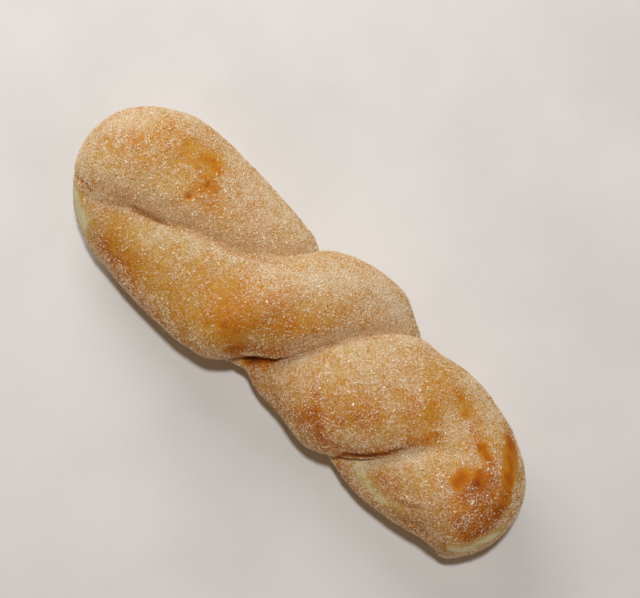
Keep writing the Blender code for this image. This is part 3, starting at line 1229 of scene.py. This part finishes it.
@dataclass
class SugarCoat:
    """The sugar that the doughnut was rolled in: coarse crystals down to dust.

    Attributes:
        block: a block's length, width and height at size 1. A chip's and a splinter's are radii.
        tilt: how far a grain leans from lying flat.
        bedding: how far a grain's middle lies in the crust, as a share of its size.
        smallest: the least length, width and height of a grain, as shares of its kind's.
        tumble_seed: what a kind's seed is raised by for its leaning, as the next two are for size and shade.
    """

    kinds: tuple[SugarKind, ...] = (
        SugarKind("sugar_crystals", Grain.BLOCK, 0.50 * MM, 15500, 2.0, 21),
        SugarKind("sugar_chips", Grain.CHIP, 0.42 * MM, 23500, 1.6, 22),
        SugarKind("sugar_grains", Grain.CHIP, 0.32 * MM, 23500, 1.2, 23),
        SugarKind("sugar_dust", Grain.SPLINTER, 0.27 * MM, 47000, 1.0, 24),
    )
    block: tuple[float, float, float] = (1.0, 0.85, 0.7)
    chip: float = 0.6
    splinter: float = 0.6
    tilt: float = math.radians(28)
    bedding: float = 0.04
    smallest: tuple[float, float, float] = (0.60, 0.55, 0.55)
    largest: tuple[float, float, float] = (1.80, 1.05, 1.05)
    tumble_seed: int = 10
    size_seed: int = 20
    shade_seed: int = 30
    finish: SugarFinish = field(default_factory=SugarFinish)

    def grain(self, recipe: ShapeRecipe, kind: Grain) -> Term:
        """Adds one grain, one unit across."""
        if kind is Grain.BLOCK:
            made = recipe.node("GeometryNodeMeshCube", {"Size": self.block})
        elif kind is Grain.CHIP:
            made = recipe.node("GeometryNodeMeshUVSphere", {"Segments": 4, "Rings": 2, "Radius": self.chip})
        else:
            sizes = {"Vertices": 3, "Radius Bottom": self.splinter, "Depth": 1.0}
            made = recipe.node("GeometryNodeMeshCone", sizes)
        return recipe.out(made, "Mesh")

    def scatter(
        self, kind: SugarKind, dough: bpy.types.Object, material: bpy.types.Material
    ) -> bpy.types.Object:
        """Scatters one kind of grain over the dough, thickest where the sugar lies.

        Args:
            kind: the kind of grain.
            dough: the dough that the grains stick to.
            material: what the grains are made of.

        Returns:
            The grains, as one piece.
        """
        recipe = ShapeRecipe(kind.name)
        density = recipe.size("Density", kind.count / cover_area(dough.data, kind.liking))
        size = recipe.size("Grain size", kind.size)
        lift = recipe.size("Lift", -self.bedding * kind.size)
        liking = recipe.size("Liking", kind.liking)
        sugar = recipe.node("GeometryNodeInputNamedAttribute", {"Name": "sugar"}, data_type="FLOAT")
        thickness = density * recipe.out(sugar, "Attribute") ** liking
        spread = recipe.node(
            "GeometryNodeDistributePointsOnFaces",
            {"Mesh": recipe.out(recipe.start, "Geometry"), "Density": thickness, "Seed": kind.seed},
        )
        bedded = recipe.node(
            "GeometryNodeSetPosition",
            {
                "Geometry": recipe.out(spread, "Points"),
                "Offset": recipe.scaled(recipe.out(spread, "Normal"), lift),
            },
        )
        lean = (self.tilt, self.tilt, math.tau)
        lean_back = (-self.tilt, -self.tilt, 0.0)
        tumble = recipe.node(
            "FunctionNodeEulerToRotation",
            {"Euler": recipe.random(lean_back, lean, kind.seed + self.tumble_seed)},
        )
        turn = recipe.node(
            "FunctionNodeRotateRotation",
            {"Rotation": recipe.out(spread, "Rotation"), "Rotate By": recipe.out(tumble, "Rotation")},
            rotation_space="LOCAL",
        )
        uneven = recipe.random(self.smallest, self.largest, kind.seed + self.size_seed)
        placed = recipe.node(
            "GeometryNodeInstanceOnPoints",
            {
                "Points": recipe.out(bedded, "Geometry"),
                "Instance": self.grain(recipe, kind.grain),
                "Rotation": recipe.out(turn, "Rotation"),
                "Scale": recipe.scaled(uneven, size),
            },
        )
        own_shade = recipe.random(0.0, 1.0, kind.seed + self.shade_seed)
        grains = recipe.kept(recipe.out(placed, "Instances"), "grain_shade", own_shade, "INSTANCE")
        recipe.finish(grains, material)
        piece = recipe.run(kind.name, dough.data.copy())
        for attribute in [each for each in piece.data.attributes if each.name in ("sugar", "bare")]:
            piece.data.attributes.remove(attribute)
        piece.data.shade_flat()
        return piece

    def build(self, dough: bpy.types.Object) -> list[bpy.types.Object]:
        """Makes each kind of sugar on the dough."""
        material = self.finish.material()
        pieces = []
        for kind in self.kinds:
            piece = self.scatter(kind, dough, material)
            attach(piece, BODY)
            pieces.append(piece)
        return pieces


def cover_area(mesh: bpy.types.Mesh, liking: float) -> float:
    """Gives the area that the sugar covers: the crust's area times its sugar, raised to the liking."""
    areas = np.empty(len(mesh.polygons), np.float32)
    mesh.polygons.foreach_get("area", areas)
    starts = np.empty(len(mesh.polygons), np.int32)
    mesh.polygons.foreach_get("loop_start", starts)
    corners = np.empty(len(mesh.loops), np.int32)
    mesh.loops.foreach_get("vertex_index", corners)
    sugar = np.empty(len(mesh.vertices), np.float32)
    mesh.attributes["sugar"].data.foreach_get("value", sugar)
    return float((areas * sugar[corners[starts]] ** liking).sum())


@dataclass(frozen=True)
class Lamp:
    """A round soft light that faces the doughnut: its name, place, width, power and colour."""

    name: str
    place: tuple[float, float, float]
    width: float
    power: float
    colour: tuple[float, float, float]

    def hang(self) -> None:
        """Hangs the lamp in its place."""
        data = bpy.data.lights.new(self.name, "AREA")
        data.shape = "DISK"
        data.size = self.width
        data.energy = self.power
        data.color = self.colour
        lamp = bpy.data.objects.new(self.name, data)
        lamp.location = self.place
        lamp.rotation_euler = Vector(self.place).to_track_quat("Z", "Y").to_euler()
        bpy.context.scene.collection.objects.link(lamp)


@dataclass
class Studio:
    """A pale floor, a lamp above, a soft one low beside the loose end, and a camera looking down."""

    view: Viewpoint = Viewpoint()
    frame_width: float = 0.194
    sensor: float = 36.0
    nearest: float = 0.01
    floor_reach: float = 4.0
    floor_gap: float = 0.02 * MM
    lamps: tuple[Lamp, ...] = (
        Lamp("key_light", (-0.022, 0.060, 0.90), 0.06, 3.9, (0.95, 0.99, 1.0)),
        Lamp("fill_light", (-0.46, 0.26, 0.36), 0.45, 2.0, (0.96, 0.97, 0.97)),
    )
    sky: Colour = (1.0, 0.71, 0.48, 1.0)
    sky_strength: float = 0.15
    finish: FloorFinish = field(default_factory=FloorFinish)

    def floor(self) -> bpy.types.Object:
        """Lays the floor."""
        net = bmesh.new()
        bmesh.ops.create_grid(net, x_segments=1, y_segments=1, size=self.floor_reach / 2)
        bmesh.ops.translate(net, verts=net.verts, vec=(0, 0, -self.floor_gap))
        mesh = bpy.data.meshes.new("pale_floor")
        net.to_mesh(mesh)
        net.free()
        mesh.materials.append(self.finish.material())
        floor = bpy.data.objects.new("pale_floor", mesh)
        bpy.context.scene.collection.objects.link(floor)
        return floor

    def camera(self) -> None:
        """Sets up the camera."""
        data = bpy.data.cameras.new("camera")
        data.sensor_width = self.sensor
        data.lens = self.sensor * self.view.distance / self.frame_width
        data.clip_start = self.nearest
        camera = bpy.data.objects.new("camera", data)
        camera.location = self.view.eye()
        camera.rotation_euler = self.view.back().to_track_quat("Z", "Y").to_euler()
        bpy.context.scene.collection.objects.link(camera)
        bpy.context.scene.camera = camera

    def lights(self) -> None:
        """Hangs the lamps and sets the pale surroundings."""
        for lamp in self.lamps:
            lamp.hang()
        world = bpy.data.worlds.new("pale_room")
        world.use_nodes = True
        background = world.node_tree.nodes["Background"]
        background.inputs["Color"].default_value = self.sky
        background.inputs["Strength"].default_value = self.sky_strength
        bpy.context.scene.world = world

    def build(self) -> None:
        """Sets up the floor, the camera and the lights, with colours shown as they are."""
        self.floor()
        self.camera()
        self.lights()
        bpy.context.scene.view_settings.view_transform = "Standard"


def report(piece: bpy.types.Object) -> None:
    """Reports a piece and how many triangles it has."""
    LOG.info("%s: %d triangles", piece.name, sum(len(face.vertices) - 2 for face in piece.data.polygons))


def main() -> None:
    """Builds the doughnut and its studio."""
    logging.basicConfig(level=logging.INFO, format="%(name)s: %(message)s")
    Studio().build()
    dough = Dough().build()
    report(dough)
    for piece in SugarCoat().build(dough):
        report(piece)


if __name__ == "__main__":
    main()
